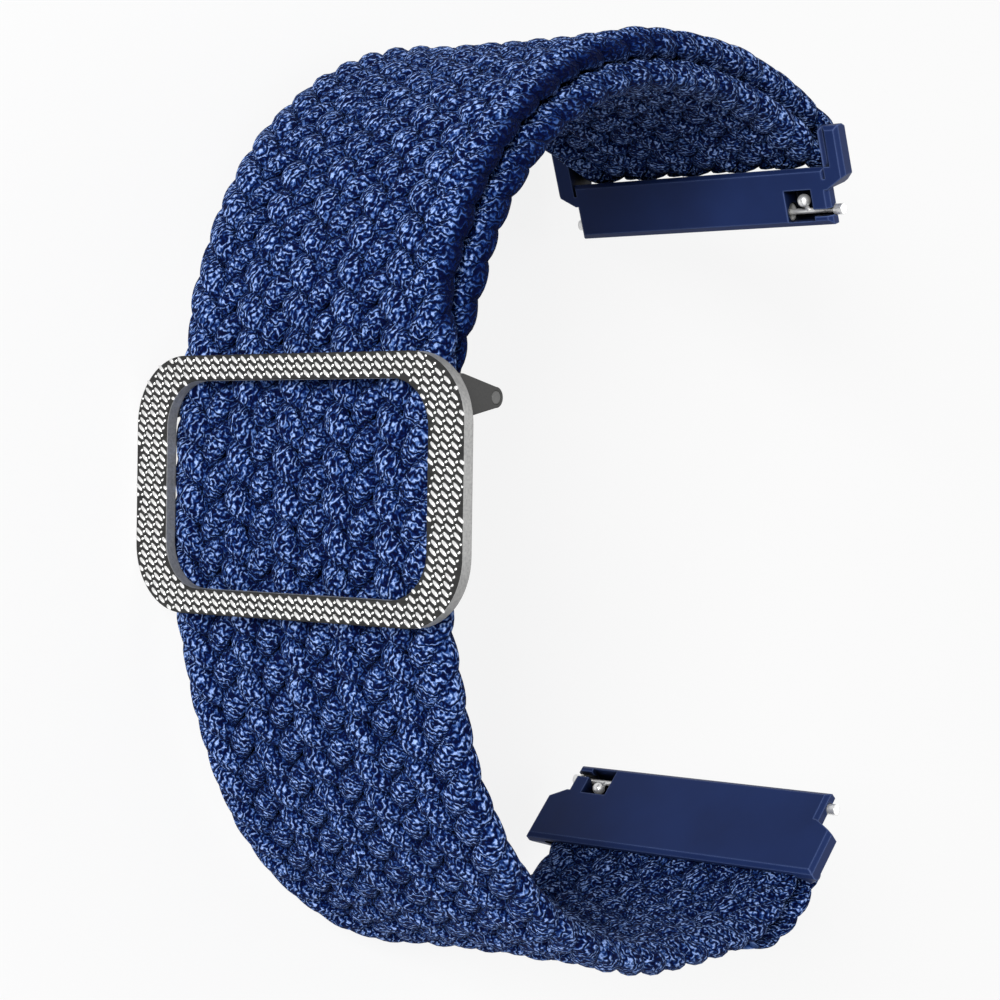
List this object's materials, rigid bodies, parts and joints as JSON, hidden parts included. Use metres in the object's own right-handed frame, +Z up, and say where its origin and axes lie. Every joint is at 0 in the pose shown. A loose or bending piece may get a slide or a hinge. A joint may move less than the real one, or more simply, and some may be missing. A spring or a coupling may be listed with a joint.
{
  "type": "watch strap",
  "caption": "Braided elastic watch strap closed into a loop, with a sliding frame buckle and a moulded quick-release lug connector at each end.",
  "frame": {"origin": "on the table under the middle of the loop, which lies on its side edge", "axes": "+X from the buckle at the back of the loop towards the watch side, which is open; +Y from the lower end of the strap to the upper end; +Z up, along the band's width"},
  "size_m": [0.0395, 0.0548, 0.0245],
  "materials": {
    "braid": "flat braid of matt nylon strands",
    "thread": "sewing thread",
    "moulding": "satin moulded plastic",
    "buckle": "knurled face with polished rims",
    "bar_steel": "polished",
    "spring_bar_steel": "polished"
  },
  "bodies": {
    "band": {"main_band": "braid", "upper_fold": "braid", "return_band": "braid", "lower_fold": "braid", "lower_stitches": "thread"},
    "buckle": {"buckle_frame": "buckle", "buckle_bar": "bar_steel", "bar_loop": "braid", "loop_stitches": "thread"},
    "upper_end": {"upper_connector": "moulding", "upper_barrel": "spring_bar_steel", "upper_fixed_tip": "spring_bar_steel", "upper_spring": "spring_bar_steel"},
    "upper_release": {"upper_release_pin": "spring_bar_steel", "upper_release_knob": "spring_bar_steel"},
    "lower_end": {"lower_connector": "moulding", "lower_barrel": "spring_bar_steel", "lower_fixed_tip": "spring_bar_steel", "lower_spring": "spring_bar_steel"},
    "lower_release": {"lower_release_pin": "spring_bar_steel", "lower_release_knob": "spring_bar_steel"}
  },
  "joints": [
    {"name": "buckle_slide", "type": "hinge", "parent": "band", "child": "buckle", "pos_m": [0.021, 0.0004, 0], "axis": [0, 0, 1], "range_deg": [-3, 8]},
    {"name": "upper_end_turn", "type": "hinge", "parent": "band", "child": "upper_end", "pos_m": [0.01817, 0.02213, 0.01225], "axis": [0, 0, 1], "range_deg": [-12, 12]},
    {"name": "upper_release_slide", "type": "slide", "parent": "upper_end", "child": "upper_release", "axis": [0, 0, -1], "range_m": [0, 0.00055], "stiffness_N_per_m": 400, "springref_m": -0.001, "deforming": ["upper_spring"]},
    {"name": "lower_end_turn", "type": "hinge", "parent": "band", "child": "lower_end", "pos_m": [0.01602, -0.02318, 0.01225], "axis": [0, 0, 1], "range_deg": [-10, 8]},
    {"name": "lower_release_slide", "type": "slide", "parent": "lower_end", "child": "lower_release", "axis": [0, 0, 1], "range_m": [0, 0.00055], "stiffness_N_per_m": 400, "springref_m": -0.001, "deforming": ["lower_spring"]}
  ]
}
